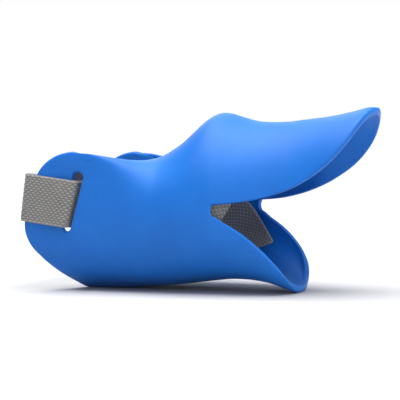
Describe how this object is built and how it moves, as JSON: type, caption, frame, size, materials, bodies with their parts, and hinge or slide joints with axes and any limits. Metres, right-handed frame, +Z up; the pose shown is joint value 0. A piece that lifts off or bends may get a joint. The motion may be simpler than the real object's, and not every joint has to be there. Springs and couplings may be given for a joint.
{
  "type": "duck-bill dog muzzle",
  "caption": "Duck-bill shaped soft silicone dog muzzle with an open-topped collar, webbing straps threaded through rear slots and a side-release buckle behind.",
  "frame": {"origin": "middle of the footprint, on the surface that the belly and the lower lip stand on", "axes": "+X forward out of the bill, +Y to the wearer's left, +Z up"},
  "size_m": [0.1448, 0.0732, 0.0763],
  "materials": {
    "silicone": "matte, very fine grain",
    "webbing": "woven, plain ribs",
    "plastic": "satin moulded acetal",
    "elastic": "ribbed elastic",
    "loop_tape": "brushed loop pile",
    "hook_tape": "moulded hooks on woven tape"
  },
  "bodies": {
    "shell": {"bill_shell": "silicone", "right_webbing": "webbing", "left_webbing": "webbing", "buckle_socket": "plastic", "loop_patch": "loop_tape", "hook_patch": "hook_tape"},
    "plug": {"buckle_plug": "plastic"},
    "upper_latch": {"upper_prong": "plastic"},
    "lower_latch": {"lower_prong": "plastic"},
    "keeper": {"strap_keeper": "elastic"}
  },
  "joints": [
    {"name": "plug_release", "type": "slide", "parent": "shell", "child": "plug", "axis": [0, 1, 0], "range_m": [0, 0.012], "deforming": ["left_webbing"]},
    {"name": "upper_prong_flex", "type": "hinge", "parent": "plug", "child": "upper_latch", "pos_m": [-0.06266, 0.0001, 0.0463], "axis": [0.9914, 0, -0.1305], "range_deg": [0, 7], "stiffness_Nm_per_rad": 0.05},
    {"name": "lower_prong_flex", "type": "hinge", "parent": "plug", "child": "lower_latch", "pos_m": [-0.06474, 0.0001, 0.03044], "axis": [0.9914, 0, -0.1305], "range_deg": [-7, 0], "stiffness_Nm_per_rad": 0.05},
    {"name": "keeper_slide", "type": "slide", "parent": "shell", "child": "keeper", "axis": [0, 1, 0], "range_m": [-0.0018, 0.001]}
  ],
  "couplings": [
    {"joint": "lower_prong_flex", "follows": "upper_prong_flex", "ratio": -1}
  ]
}
